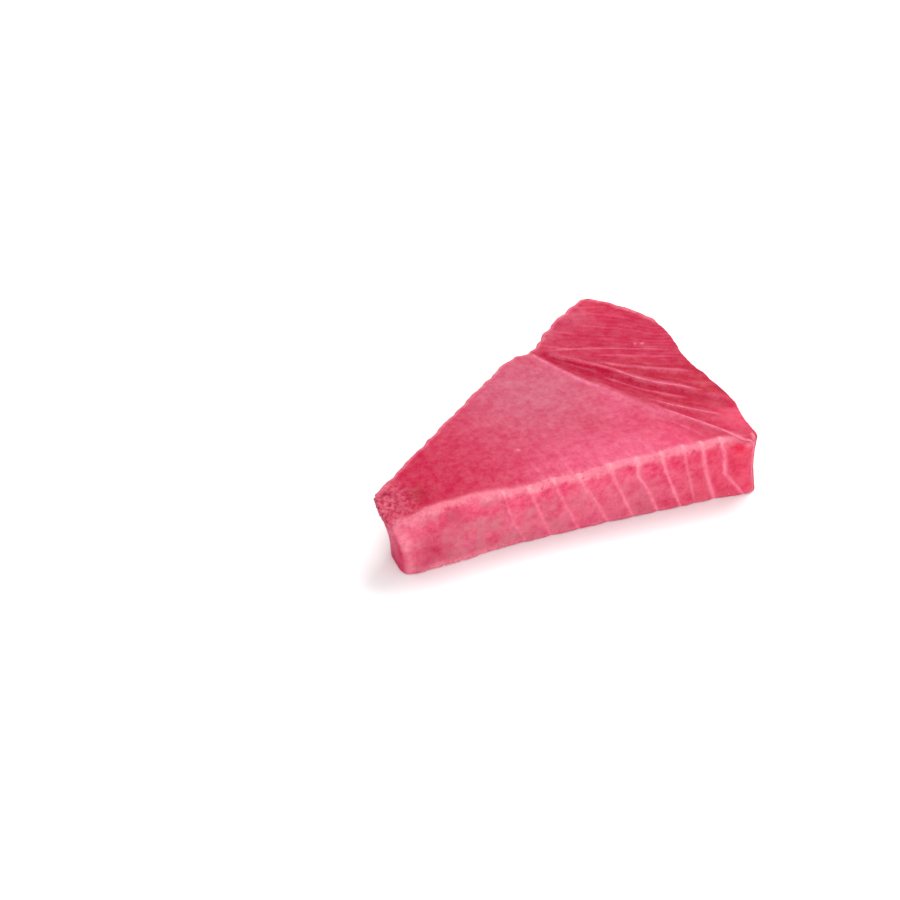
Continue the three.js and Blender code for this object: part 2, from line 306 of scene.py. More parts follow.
def traceOutline():
    # the closed outline in equal steps along each side, and the outward direction at each point
    start = np.array(slab["corners"], float)
    before, end, after = (np.roll(start, shift, axis=0) for shift in (1, -1, -2))
    gapIn, gap, gapOut = (
        np.sqrt(np.linalg.norm(b - a, axis=1))[:, None]
        for a, b in ((before, start), (start, end), (end, after))
    )
    leave = ((start - before) / gapIn - (end - before) / (gapIn + gap) + (end - start) / gap) * gap
    arrive = ((end - start) / gap - (after - start) / (gap + gapOut) + (after - end) / gapOut) * gap
    samples = 96
    t = (np.arange(samples) / samples)[None, :, None]
    start, end, leave, arrive = (part[:, None, :] for part in (start, end, leave, arrive))
    curve = start + leave * t + (3 * (end - start) - 2 * leave - arrive) * t ** 2
    curve = (curve + (2 * (start - end) + leave + arrive) * t ** 3).reshape(-1, 2)
    closed = np.vstack([curve, curve[:1]])
    lengths = lengthsAlong(closed)
    ends = [lengths[corner * samples] for corner in slab["sideStarts"]] + [lengths[-1]]
    share = np.arange(slab["sideSteps"]) / slab["sideSteps"]
    along = np.concatenate([low + (high - low) * share for low, high in zip(ends, ends[1:])])
    plan = np.column_stack([np.interp(along, lengths, values) for values in closed.T])
    apart = 3  # points to each side that the outward direction is taken from
    ahead, behind = np.roll(plan, -apart, axis=0), np.roll(plan, apart, axis=0)
    outward = np.column_stack([ahead[:, 1] - behind[:, 1], behind[:, 0] - ahead[:, 0]])
    outward /= np.linalg.norm(outward, axis=1)[:, None]
    atNotch = 1 - smoothstep(np.linalg.norm(plan - slab["notch"], axis=1), 0, slab["raggedReach"])
    atBack = smoothstep(outward[:, 1], *slab["raggedTurn"])
    factor = slab["raggedSides"] + (1 - slab["raggedSides"]) * atBack
    factor = factor * (1 + (slab["raggedAtNotch"] - 1) * atNotch)
    for length, depth, phase in slab["raggedWaves"]:
        waves = round(lengths[-1] / length)
        plan += outward * (factor * depth * ripple(along / lengths[-1] * waves, 1, phase))[:, None]
    flat = np.column_stack([plan, np.zeros(len(plan))])
    lump = lumps(flat, slab["raggedLumpSize"], octaves=4, shift=5)
    return plan + outward * (factor * slab["raggedLumps"] * lump)[:, None], outward


def seamCount(x, height):
    # a count along the long cut side that is whole at each seam, and below 0 before the first
    count = np.full(len(x), -0.5)
    lines = [np.interp(-height, -np.array(seams["heights"]), place) for place in seams["places"]]
    for index, (start, end) in enumerate(zip(lines, lines[1:])):
        share = (x - start) / (end - start)
        count = np.where((share >= 0) & (share < 1), index + share, count)
    return count


def wallPoints(plan, outward, height, inset):
    # points of the wall over the outline's points, each at its height
    x, y = plan.T
    depth = np.clip(1 - height / slab["thickness"], 0, 1)
    facingFront = np.clip(-outward[:, 1], 0, 1) ** 2
    facingSkin = np.clip(outward[:, 0], 0, 1) ** 2
    count = seamCount(x, height)
    swell = np.where(count > 0, seams["swell"] * np.sqrt(np.abs(np.sin(math.pi * count))), 0)
    offset = facingFront * swell - inset - facingSkin * slab["skinWaist"] * np.sin(math.pi * depth)
    shift = slab["tailUndercut"] * np.sin(math.pi / 2 * depth) * smoothstep(-x, *slab["tailFrom"])
    spread = depth * slab["heelSpread"]
    shift += spread * smoothstep(x, *slab["spreadFromX"]) * smoothstep(-y, *slab["spreadFromY"])
    pinch = slab["heelPinch"] + slab["heelWaist"] * np.sin(math.pi * depth)
    shift -= pinch * smoothstep(x, *slab["pinchFromX"]) * smoothstep(-y, *slab["pinchFromY"])
    return np.column_stack([x + offset * outward[:, 0] + shift, y + offset * outward[:, 1], height])


def upperRadius(outward):
    back = smoothstep(outward[:, 1], *slab["backTurn"])
    return slab["upperRadius"] + (slab["backRadius"] - slab["upperRadius"]) * back


def evenNet(rim):
    # a three-sided net inside the rim: row 0 is the front, each further row has one point less
    steps = slab["sideSteps"]
    net = np.zeros((steps + 1, steps + 1, 2))
    net[0] = rim[:steps + 1]
    for row in range(1, steps + 1):
        first, last = rim[len(rim) - row], rim[steps + row]
        share = (np.arange(steps - row + 1) / max(steps - row, 1))[:, None]
        net[row, :steps - row + 1] = first + (last - first) * share
    row, column = np.mgrid[1:steps, 1:steps]
    inner = (row + column < steps)[:, :, None]
    # each inner point goes to the middle of its six neighbours
    for _ in range(slab["evenPasses"]):
        six = net[1:-1, :-2] + net[1:-1, 2:] + net[2:, :-2] + net[2:, 1:-1]
        six = six + net[:-2, 1:-1] + net[:-2, 2:]
        net[1:-1, 1:-1] = np.where(inner, six / 6, net[1:-1, 1:-1])
    return net


def frayShare(points, front):
    # the frayed stretch of the lower front edge
    x = points[:, 0]
    along = fray["before"] + (1 - fray["before"]) * smoothstep(x, *fray["fromX"])
    along = along * (fray["after"] + (1 - fray["after"]) * smoothstep(x, *fray["toX"]))
    return front * along * (1 - smoothstep(points[:, 2], 0, fray["height"]))


def shredDensity(points, front):
    # short fibres fray the lower front edge and gather on the ridge
    above = points[:, 2] - shreds["height"]
    density = frayShare(points, front) * hump(above, shreds["spread"] * shreds["height"])
    for place, reach, share in shreds["heaps"]:
        density += share * hump(np.linalg.norm(points - place, axis=1), reach)
    return density


def link(piece):
    scene.collection.objects.link(piece)
    return piece


def buildSlab(plan, outward):
    around, steps = len(plan), slab["sideSteps"]
    lower, upper = slab["lowerRadius"], upperRadius(outward)
    top = topHeight(plan - outward * upper[:, None])

    # rings from the underside up: the rounded lower edge, the cut face, the rounded upper edge
    rings = [(np.zeros(around), lower + slab["undersideRim"], 0)]
    for row in range(slab["lowerRows"]):
        angle = math.pi / 2 * row / slab["lowerRows"]
        rings.append((np.full(around, lower * (1 - math.cos(angle))), lower * (1 - math.sin(angle)), 0))
    for row in range(slab["wallRows"] + 1):
        rings.append((lower + (top - upper - lower) * row / slab["wallRows"], 0, 0))
    for row in range(1, slab["upperRows"] + 1):
        angle = math.pi / 2 * row / slab["upperRows"]
        rings.append((top - upper * (1 - math.sin(angle)), upper * (1 - math.cos(angle)), angle))
    wall = np.vstack([wallPoints(plan, outward, height, inset) for height, inset, _ in rings])
    heights = np.concatenate([height for height, _, _ in rings])

    # the upper face starts from the last ring
    lastRing = len(wall) - around
    net = evenNet(wall[lastRing:, :2])
    ids = np.full((steps + 1, steps + 1), -1)
    row = np.arange(1, steps + 1)
    ids[0] = lastRing + np.arange(steps + 1)
    ids[row, 0] = len(wall) - row
    ids[row, steps - row] = lastRing + steps + row
    rowOf, columnOf = np.mgrid[0:steps + 1, 0:steps + 1]
    inner = (ids < 0) & (rowOf + columnOf < steps)
    ids[inner] = len(wall) + np.arange(inner.sum())
    face = net[inner]
    points = np.vstack([wall, np.column_stack([face, topHeight(face)])])

    index = np.arange(around)
    after = (index + 1) % around
    starts = around * np.arange(len(rings) - 1)
    quads = [
        np.column_stack([s + index, s + after, s + around + after, s + around + index]) for s in starts
    ]
    r, c = np.nonzero(rowOf + columnOf < steps)
    triangles = [np.column_stack([ids[r, c], ids[r, c + 1], ids[r + 1, c]])]
    r, c = np.nonzero(rowOf + columnOf < steps - 1)
    triangles.append(np.column_stack([ids[r, c + 1], ids[r + 1, c + 1], ids[r + 1, c]]))
    faces = [index[::-1].tolist()] + np.vstack(quads).tolist() + np.vstack(triangles).tolist()

    # what the finish reads at each point: distance inwards from the rim, or down from it where
    # negative, the way the nearest cut side faces, and the counts and shares of the form
    tree = kdtree.KDTree(around)
    for number, (x, y) in enumerate(wall[lastRing:, :2]):
        tree.insert((x, y, 0), number)
    tree.balance()
    found = [tree.find((x, y, 0)) for x, y in face]
    owner = np.array([number for _, number, _ in found])
    edge = np.concatenate([heights - np.tile(top, len(rings)), [gap for _, _, gap in found]])
    facing = np.vstack([outward] * len(rings) + [outward[owner]])
    facing[:around] = 0
    seam = np.full(len(points), -0.5)
    seam[around:len(wall)] = seamCount(np.tile(plan[:, 0], len(rings) - 1), heights[around:])
    _, lobe = flakeCount(points[:, :2])
    fibre = grainCount(points[:, :2])
    torn = tornShare(points[:, :2]) * smoothstep(points[:, 2], tear["goneBelow"], tear["fullAbove"])
    folded = foldRelief(points[:, :2])
    pulp = lumps(points, tear["lumpSize"], octaves=3, shift=7)

    # relief finer than the form, along the way each point faces
    tilt = np.concatenate([np.full(around, angle) for _, _, angle in rings])
    aim = np.column_stack([np.tile(outward, (len(rings), 1)) * np.cos(tilt)[:, None], np.sin(tilt)])
    aim = np.vstack([aim, np.tile((0.0, 0.0, 1.0), (len(face), 1))])
    relief = finish["grain"] * lumps(points, finish["grainSize"], octaves=2, shift=1)
    relief += finish["swell"] * lumps(points, finish["swellSize"], octaves=1, shift=3)
    relief += tear["lumpHeight"] * torn * pulp
    front = np.clip(-facing[:, 1], 0, 1) ** 2
    ridge = hump(edge - finish["ridgeAt"], finish["ridgeReach"]) * front
    relief += finish["ridge"] * ridge * lumps(points, finish["ridgeSize"], octaves=2, shift=11)
    ragged = finish["ragged"]
    raggedHere = ridge * hump(points[:, 0] - ragged["x"], ragged["halfWidth"])
    relief += ragged["ridge"] * raggedHere * lumps(points, ragged["size"], octaves=2, shift=13)
    for places in seams["places"][:-1]:
        gap = np.hypot(points[:, 0] - places[0], edge - finish["knotAt"])
        relief += finish["knot"] * front * hump(gap, finish["knotReach"])
    relief *= smoothstep(points[:, 2], 0, finish["calmTo"])
    foot = lumps(points, finish["footSize"], octaves=2, shift=17)
    relief += finish["foot"] * frayShare(points, front) * foot
    points = points + aim * relief[:, None]

    middle = (points.min(axis=0) + points.max(axis=0)) / 2
    middle[2] = 0
    mesh = bpy.data.meshes.new("steakFlesh")
    mesh.from_pydata((points - middle) * mm, [], faces)
    mesh.shade_smooth()
    readings = {
        "edge": edge, "facingX": facing[:, 0], "facingY": facing[:, 1], "seam": seam, "grain": fibre,
        "lobe": lobe, "torn": torn, "folded": folded, "pulp": pulp,
        "pale": paleLines(points[:, :2]), "dark": clearLines(points[:, :2], hollows),
        "frayed": frayShare(points, front), "shreds": shredDensity(points, front),
    }
    for name, values in readings.items():
        mesh.attributes.new(name, "FLOAT", "POINT").data.foreach_set("value", values.astype(np.float32))
    print("slab:", len(points), "points, middle of its plan", middle.round(2))
    return link(bpy.data.objects.new("steakFlesh", mesh)), middle


plan, outward = traceOutline()
flesh, middle = buildSlab(plan, outward)


# a wire carries a value between nodes, and a sum on wires adds Math nodes
class Wire:
    def __init__(self, sheet, socket):
        self.sheet = sheet
        self.socket = socket

    def sum(self, operation, *values):
        return self.sheet.add("ShaderNodeMath", {"operation": operation}, dict(enumerate(values)))

    def __add__(self, other):
        return self.sum("ADD", self, other)

    def __radd__(self, other):
        return self.sum("ADD", other, self)

    def __sub__(self, other):
        return self.sum("SUBTRACT", self, other)

    def __rsub__(self, other):
        return self.sum("SUBTRACT", other, self)

    def __mul__(self, other):
        return self.sum("MULTIPLY", self, other)

    def __rmul__(self, other):
        return self.sum("MULTIPLY", other, self)

    def __truediv__(self, other):
        return self.sum("DIVIDE", self, other)

    def __rtruediv__(self, other):
        return self.sum("DIVIDE", other, self)

    def __pow__(self, other):
        return self.sum("POWER", self, other)

    def __neg__(self):
        return self.sum("MULTIPLY", self, -1.0)

    def hump(self, reach):
        # 1 where the value is 0, falling off over the reach
        return self.sum("EXPONENT", -((self / reach) ** 2.0))

    def floor(self):
        return self.sum("FLOOR", self)

    def pingpong(self, reach):
        # distance to the nearest whole number of 2 reaches
        return self.sum("PINGPONG", self, reach)

    def ramp(self, low, high):
        # from 0 at the low value to 1 at the high one
        inputs = {"Value": self, "From Min": low, "From Max": high}
        return self.sheet.add("ShaderNodeMapRange", {"interpolation_type": "SMOOTHSTEP"}, inputs)


class Sheet:
    def __init__(self, tree):
        self.tree = tree

    def add(self, kind, settings=None, inputs=None, output=0):
        made = self.tree.nodes.new(kind)
        for name, value in (settings or {}).items():
            setattr(made, name, value)
        for name, value in (inputs or {}).items():
            if isinstance(value, Wire):
                self.tree.links.new(value.socket, made.inputs[name])
            else:
                made.inputs[name].default_value = value
        return Wire(self, made.outputs[output])

    def reading(self, name):
        return self.add("ShaderNodeAttribute", {"attribute_name": name}, output="Fac")

    def mix(self, share, first, second):
        # two colours, blended by a share
        settings = {"data_type": "RGBA", "clamp_factor": True}
        return self.add("ShaderNodeMix", settings, {0: share, 6: first, 7: second}, output=2)

    def place(self, x, y, z):
        return self.add("ShaderNodeCombineXYZ", None, {0: x, 1: y, 2: z})

    def random(self, low, high, seed):
        inputs = {2: low, 3: high, "Seed": seed}
        return self.add("FunctionNodeRandomValue", {"data_type": "FLOAT"}, inputs, output=1)

    def randomVector(self, low, high, seed):
        inputs = {0: low, 1: high, "Seed": seed}
        return self.add("FunctionNodeRandomValue", {"data_type": "FLOAT_VECTOR"}, inputs)

    def bump(self, height, strength=1.0):
        # the height is in millimetres
        inputs = {"Height": height, "Distance": mm, "Strength": strength}
        return self.add("ShaderNodeBump", None, inputs, output="Normal")

    def tube(self, path, ring, scale):
        inputs = {"Curve": path, "Profile Curve": ring, "Scale": scale, "Fill Caps": True}
        return self.add("GeometryNodeCurveToMesh", None, inputs)

    def clouds(self, place, size, detail=2.0, coarse=0.5):
        inputs = {"Vector": place, "Scale": 1 / size, "Detail": detail, "Roughness": coarse}
        return self.add("ShaderNodeTexNoise", None, inputs)


def paint(red, green, blue):
    # a colour given as screen values from 0 to 255
    values = [value / 255 for value in (red, green, blue)]
    return tuple(v / 12.92 if v < 0.04045 else ((v + 0.055) / 1.055) ** 2.4 for v in values) + (1.0,)


def newFinish(name, settings):
    # a material with its Principled node's fixed values set, and the sheet to add to
    material = bpy.data.materials.new(name)
    material.use_nodes = True
    principled = material.node_tree.nodes["Principled BSDF"]
    for socket, value in settings.items():
        principled.inputs[socket].default_value = value
    sheet = Sheet(material.node_tree)
    position = sheet.add("ShaderNodeTexCoord", output="Object")
    place = sheet.add("ShaderNodeVectorMath", {"operation": "SCALE"}, {0: position, "Scale": 1 / mm})
    return material, sheet, principled, place


def feed(sheet, principled, inputs):
    for name, wire in inputs.items():
        sheet.tree.links.new(wire.socket, principled.inputs[name])


fleshLook = {
    "body": paint(181, 45, 77), "bloomAndSheen": paint(178, 86, 106), "tailwardsShade": paint(173, 27, 60),
    "frontwards": paint(199, 75, 106), "rightwards": paint(196, 50, 86), "fan": paint(160, 3, 38),
    "deep": paint(155, 2, 48), "heel": paint(206, 62, 92), "lobe": paint(166, 12, 52),
    "lobeTip": paint(177, 20, 55), "line": paint(209, 107, 136), "wallTop": paint(208, 70, 103),
    "wall": paint(197, 86, 110), "wallPale": paint(179, 108, 115), "wallDeep": paint(186, 48, 78),
    "wallShade": paint(172, 50, 76), "wallFootShade": paint(192, 78, 106),
    "wallRight": paint(198, 41, 71), "wallEnd": paint(203, 24, 54), "hidden": paint(160, 28, 54),
    "tail": paint(190, 30, 80), "ridge": paint(216, 119, 137), "knot": paint(232, 140, 154),
    "seam": paint(230, 118, 142), "pulpPale": paint(204, 100, 120), "pulpPitShade": paint(146, 38, 66),
    "tearShade": paint(140, 4, 26), "dot": paint(146, 50, 78),
}

# clouds that break the colours up: size, detail and roughness
cloudKinds = {
    "broad": (17, 2), "blotch": (8.5, 3, 0.65), "patches": (5.5, 3, 0.6), "mottle": (2.2, 3, 0.6),
    "speckle": (0.9, 2, 0.65), "dust": (0.4, 1),
}
# patches of colour: the middle of each and its reach
patchPlaces = {
    "bloomAndSheen": ((3, 1, 28), 31), "heelFront": ((52, -46, 28), 15), "besideSeam": ((29, -20, 28), 10),
    "lobeTip": ((48, 50, 28), 13), "frostAndSheenLow": ((21, 38, 28), 10), "frostAndSheenHigh": ((40, 45, 28), 8),
    "heel": ((73, -42, 28), 10), "shallow": ((49, -17, 28), 11), "tearShade": ((-60.5, -44.5, 27.5), 4.2),
    "tailFront": ((-69, -54, 20), 6.5), "lowShade": ((-59, -54, 8), 8), "highShade": ((-50, -54, 22), 5),
    "wallEnd": ((67, -53, 21), 6),
}
# stretches along x or y, or down the wall, over which a colour or a mark comes in
spans = {
    "fanOpens": (20, 48), "tailwardsShade": (12, 62), "frontwards": (20, 50), "frontFromX": (-30, 5),
    "tailSide": (60, 66), "left": (-40, 40), "wallDown": (5, 12), "wallFootShade": (15, 25),
    "wallRight": (18, 60), "seamsClear": (-30, 60), "heelRim": (63, 74), "bandFades": (58, 68),
    "skinRim": (24, 34), "tailFront": (46, 51), "belowRim": (1, 5),
}
heelRimDrop = 3.2  # how far the rim's colours come down at the heel's front corner
# the upright corner of the tail end gets a painted highlight
tailCornerHighlight = {"x": -73.2, "reach": 1.6}  # the pale upright corner of the tail end


def makeFlesh():
    look = fleshLook
    material, sheet, principled, place = newFinish("tunaFlesh", {
        "IOR": 1.4, "Specular IOR Level": 0.14, "Subsurface Weight": 0.15,
        "Subsurface Radius": (1.0, 0.28, 0.2), "Subsurface Scale": 1.6 * mm,
    })
    x, y, z = (sheet.add("ShaderNodeSeparateXYZ", None, {0: place}, output=axis) for axis in range(3))
    names = "edge facingX facingY seam grain lobe torn folded pulp pale dark frayed"
    edge, facingX, facingY, seam, grain, lobe, torn, folded, pulp, pale, dark, frayed = (
        sheet.reading(name) for name in names.split()
    )
    broad, blotch, patches, mottle, speckle, dust = (
        sheet.clouds(place, *kind) for kind in cloudKinds.values()
    )
    along = x * 0.6 - y * 0.8
    streaks = sheet.clouds(sheet.place(grain, along * 0.05, z * 0.05), 1.1, 2, 0.6)
    fibres = sheet.clouds(sheet.place(grain * 3, along * 0.12, z * 0.12), 1, 1)

    def over(colour, share, name):
        # one of the look's colours laid over another, by a share
        return sheet.mix(share, colour, look[name])

    def near(name):
        centre, reach = patchPlaces[name]
        settings, inputs = {"operation": "DISTANCE"}, {0: place, 1: centre}
        return sheet.add("ShaderNodeVectorMath", settings, inputs, output="Value").hump(reach)

    # upper face, from the notch seam outwards
    right = (grain / (0.8 + x.ramp(*spans["fanOpens"]) * 2.6)).ramp(-1, 1)
    # a whitish bloom round the middle of the upper face, with a painted sheen in it
    bloomAndSheen = near("bloomAndSheen") * (0.4 + patches * 0.6 + mottle * 0.3 + speckle * 0.2)
    # painted shade: the upper face is painted darker towards the tail
    tailwardsShade = (-x).ramp(*spans["tailwardsShade"]) * (0.5 + patches * 0.8)
    frontwards = (-y + (broad - 0.5) * 14).ramp(*spans["frontwards"]) * x.ramp(*spans["frontFromX"])
    top = over(look["body"], tailwardsShade, "tailwardsShade")
    top = over(top, frontwards, "frontwards")
    top = over(top, near("heelFront") * 0.7, "rightwards")
    top = over(top, near("besideSeam") * 0.65, "frontwards")
    top = over(top, bloomAndSheen, "bloomAndSheen")
    fan = over(look["fan"], lobe.ramp(0.3, 0.9), "lobe")
    fan = over(fan, near("lobeTip"), "lobeTip")
    # frosted patches on the lobe, painted whitish: frost on the flesh with a painted sheen on it
    frostAndSheen = near("frostAndSheenLow") + near("frostAndSheenHigh")
    fan = over(fan, frostAndSheen * (0.1 + mottle * 0.5 + speckle * 0.3), "bloomAndSheen")
    top = sheet.mix(right * (0.85 + (streaks - 0.5)), top, fan)
    top = over(top, near("heel") * 0.75, "heel")
    # painted shade: the folds' valley is painted deeper red
    valley = (-folded).ramp(0.2, 1.0) * (1 - near("shallow") * 0.9)
    top = over(top, valley * (0.1 + streaks * 0.6), "deep")
    # paler along the raised folds: pale tissue there, with a painted highlight on their crests
    top = over(top, folded.ramp(0.15, 0.8) * (0.1 + mottle * 0.7) * 0.6, "line")
    strand = (grain + (mottle - 0.5) * 0.5).pingpong(0.5).hump(0.24) * (streaks - 0.36).ramp(0.0, 0.3)
    top = over(top, strand * right * (0.24 - lobe * 0.05), "line")
    # painted shade: the hollows beside the threads are painted deeper red
    top = over(top, dark * (0.35 + streaks * 0.9), "deep")
    top = over(top, near("tearShade") * (0.3 + patches * 0.7), "tearShade")
    top = over(top, pale * (0.3 + mottle * 0.6 + speckle * 0.5), "line")

    # cut sides: patches and a paler stretch towards the tail, deeper panels towards the heel
    front = (-facingY).ramp(0.3, 0.85)
    tailSide = (-facingX).ramp(0.6, 0.95) * (-x).ramp(*spans["tailSide"])
    depth = (patches - 0.5) * 9 - edge
    left = (-x).ramp(*spans["left"])
    side = over(look["wallTop"], depth.ramp(*spans["wallDown"]), "wall")
    # painted shade: darker towards the foot of the wall, near the floor
    side = over(side, depth.ramp(*spans["wallFootShade"]), "wallFootShade")
    side = over(side, x.ramp(*spans["wallRight"]) * 0.8, "wallRight")
    paleBlotch = (blotch * 0.85 + mottle * 0.15).ramp(0.42, 0.64) * (0.2 + left * 0.5)
    side = over(side, paleBlotch, "wallPale")
    side = over(side, (0.52 - blotch * 0.6 - patches * 0.4).ramp(0.0, 0.2) * 0.55, "wallDeep")
    side = over(side, near("tailFront") * (0.2 + mottle * 0.8), "ridge")
    side = over(side, (near("lowShade") + near("highShade")) * (0.2 + mottle), "wallShade")
    side = over(side, frayed * (mottle * 0.7 + speckle * 1.3), "ridge")
    settings, inputs = {"noise_dimensions": "1D"}, {"W": seam.floor()}
    panel = sheet.add("ShaderNodeTexWhiteNoise", settings, inputs, output="Value")
    side = over(side, panel * 0.35, "wallTop")
    side = over(side, 1 - front, "hidden")
    mottled = (mottle * 0.6 + patches * 0.4).ramp(0.5, 0.7)
    side = over(side, (1 - front) * mottled * 0.35, "wall")
    side = over(side, (1 - front) * strand * 0.3, "line")
    # painted shade: the side of the tail end, turned from the light, is painted darker
    side = over(side, tailSide * 0.9, "tail")
    side = over(side, near("wallEnd") * 0.45, "wallEnd")
    seamed = (seam + 0.3).ramp(0, 0.1) * front
    beside = (seam + (mottle - 0.5) * 0.06).pingpong(0.5)
    side = over(side, beside.hump(0.2) * seamed * (0.15 + mottle * 0.4), "wall")
    faintHere, broadHere = (seam - seams["faint"]).hump(0.3), (seam - seams["broad"]).hump(0.15)
    clear = (0.4 + x.ramp(*spans["seamsClear"]) * 0.5) * (1 - faintHere * 0.6)
    side = over(side, beside.hump(0.07) * seamed * clear, "seam")
    side = over(side, broadHere * front * (0.2 + mottle * 0.6), "seam")
    rim = edge + x.ramp(*spans["heelRim"]) * front * heelRimDrop
    flat = sheet.mix(rim.ramp(-2.2, -0.5), side, top)

    # the rim: a broad pale band along the front, partly pale tissue and partly a painted highlight on the
    # rounded edge, bright knots at the seams, a thin pale band with a painted highlight along the cut back
    # and the skin side, and a painted highlight down the corner of the tail end
    band = (rim + 0.5 + (patches - 0.5) * 3.2 + (mottle - 0.5) * 1.6).hump(1.5) * front
    band = band * (1 - x.ramp(*spans["bandFades"]) * 0.5)
    flat = over(flat, band * (0.3 + patches * 0.4 + speckle * 0.6), "ridge")
    knot = beside.hump(0.11) * seamed * (edge + 0.4 + (mottle - 0.5) * 2).hump(1.5)
    flat = over(flat, knot * (0.4 + speckle * 0.7), "knot")
    back = facingY.ramp(0.2, 0.7) * (0.3 - facingX).ramp(0.0, 0.5)
    flat = over(flat, edge.hump(0.7) * back * (0.2 + mottle * 0.6), "ridge")
    skin = facingX.ramp(0.3, 0.8) * y.ramp(*spans["skinRim"]) * (edge - 0.4).hump(1.1)
    flat = over(flat, skin * (0.25 + mottle * 0.5), "ridge")
    leaning = 1 - (z / slab["thickness"]) ** 2.0
    corner = (x - tailCornerHighlight["x"] - leaning * slab["tailUndercut"]).hump(tailCornerHighlight["reach"])
    corner = corner * (-edge).ramp(*spans["belowRim"]) * (-y).ramp(*spans["tailFront"])
    flat = over(flat, corner * (0.1 + mottle * 0.9), "ridge")

    # torn pulp at the tail, painted paler on its lumps as a highlight and darker between them as shade,
    # then frost and speckle everywhere
    pulpLightAndShade = pulp * 0.8 + (mottle - 0.5) * 0.9 + (speckle - 0.5) * 1.3
    flat = over(flat, torn * (0.2 + pulpLightAndShade.ramp(-0.4, 0.4) * 0.6), "pulpPale")
    flat = over(flat, torn * (-pulpLightAndShade).ramp(0.0, 0.6) * 0.5, "pulpPitShade")
    dots = (dust * 0.4 + speckle * 0.6).ramp(0.56, 0.7) * 0.25 * edge.ramp(-2, 0)
    flat = over(flat, dots, "dot")
    streaky = (streaks - 0.5) * (0.1 + right * 0.22)
    coarse = (mottle - 0.5) * (0.16 - right * 0.06) + (patches - 0.5) * 0.2
    shade = 1 + coarse * 1.4 + (speckle - 0.5) * 0.16 + streaky + torn * (patches - 0.5) * 0.4
    full = 1 - coarse - (speckle - 0.5) * 0.08
    tone = sheet.add("ShaderNodeHueSaturation", None, {"Color": flat, "Value": shade, "Saturation": full})

    height = (
        (speckle - 0.5) * 0.2 + (dust - 0.5) * 0.05 + (mottle - 0.5) * 0.34
        + (fibres - 0.5) * 0.16 * right + torn * (speckle * 0.7 + mottle * 0.6)
    )
    gloss = 0.42 + (speckle - 0.5) * 0.25 + bloomAndSheen * 0.15
    feed(sheet, principled, {"Base Color": tone, "Roughness": gloss, "Normal": sheet.bump(height, 0.8)})
    return material


flesh.data.materials.append(makeFlesh())
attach(flesh, "root")
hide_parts("tuna_steak")
print("flesh finished")


def newTree(name, inputs):
    # a Geometry Nodes tree with a geometry input, the named inputs given, and its wires by name
    tree = bpy.data.node_groups.new(name, "GeometryNodeTree")
    for way in ("OUTPUT", "INPUT"):
        tree.interface.new_socket("Geometry", in_out=way, socket_type="NodeSocketGeometry")
    for label, kind in inputs.items():
        tree.interface.new_socket(label, in_out="INPUT", socket_type=kind)
    sheet = Sheet(tree)
    entry = tree.nodes.new("NodeGroupInput")
    return sheet, {socket.name: Wire(sheet, socket) for socket in entry.outputs if socket.name}


def grow(name, source, sheet, shape, material, values):
    # ends the tree, runs it on a mesh, and keeps the result as a plain mesh
    tree = sheet.tree
    real = sheet.add("GeometryNodeRealizeInstances", None, {0: shape})
    smooth = sheet.add("GeometryNodeSetShadeSmooth", None, {0: real})
    done = sheet.add("GeometryNodeSetMaterial", None, {"Geometry": smooth, "Material": material})
    tree.links.new(done.socket, tree.nodes.new("NodeGroupOutput").inputs[0])
    carrier = link(bpy.data.objects.new(name + "Source", source))
    modifier = carrier.modifiers.new(name, "NODES")
    modifier.node_group = tree
    for socket in tree.interface.items_tree:
        if socket.in_out == "INPUT" and socket.name in values:
            modifier[socket.identifier] = values[socket.name]
    evaluated = carrier.evaluated_get(bpy.context.evaluated_depsgraph_get())
    mesh = bpy.data.meshes.new_from_object(evaluated)
    mesh.name = name
    bpy.data.objects.remove(carrier)
    piece = link(bpy.data.objects.new(name, mesh))
    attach(piece, "root")
    print(name, "made:", len(mesh.polygons), "faces")
    return piece


# pale sinew in the seams and the clearest threads: how thick each strand is, how deep it lies as a
# share of that, and how it thins towards its ends
strands = {
    "sides": 8, "step": 0.7, "sunk": 0.55, "sunkAtEnds": 1.05, "unevenness": 0.35, "lumpSize": 4,
    "taper": 0.14, "endGirth": 0.4,
    "seamGirth": (0.26, 0.28, 0.34, 0.34, 0.42, 0.42, 0.4, 0.3, 0.7, 0.68),
    "belowTop": 1.4, "seamTo": 1.4,
    "threadGirth": {"bright": 0.3, "middle": 0.2},
    # the corner strand runs over the rim and down the heel: places along it and their heights
    "cornerFrom": [(46.5, -27.6), (57.5, -41.3), (64.5, -51.2)],
    "cornerDown": [(67.4, 27.6), (70.2, 26.9), (72.4, 25.2), (73.4, 22.2)],
    "cornerGirth": 0.42, "cornerOutwards": (0, -0.5, 0.8),
}
sinewLook = {
    "pale": paint(222, 114, 138), "rosy": paint(210, 82, 110), "specular": 0.3,
    "lump": (3.0, 3, 0.6), "fleck": (0.7, 2), "fleckShare": 0.4, "blend": (0.4, 0.6), "bump": 0.12,
}
fibreLook = {
    "pale": paint(226, 124, 146), "rosy": paint(200, 78, 104), "specular": 0.35,
    "lump": (1.6, 2, 0.6), "fleck": (0.5, 1), "fleckShare": 0.0, "blend": (0.42, 0.6), "bump": 0.1,
}


def makeSinew(name, look):
    # rosy and paler tones in lumps, with fine flecks
    material, sheet, principled, place = newFinish(name, {
        "IOR": 1.4, "Specular IOR Level": look["specular"], "Subsurface Weight": 0.15,
        "Subsurface Radius": (1.0, 0.35, 0.28), "Subsurface Scale": 1.2 * mm,
    })
    lump, fleck = sheet.clouds(place, *look["lump"]), sheet.clouds(place, *look["fleck"])
    paler = (lump * (1 - look["fleckShare"]) + fleck * look["fleckShare"]).ramp(*look["blend"])
    tone = sheet.mix(paler, look["rosy"], look["pale"])
    bump = sheet.bump(fleck * look["bump"])
    feed(sheet, principled, {"Base Color": tone, "Roughness": 0.35 + fleck * 0.2, "Normal": bump})
    return material


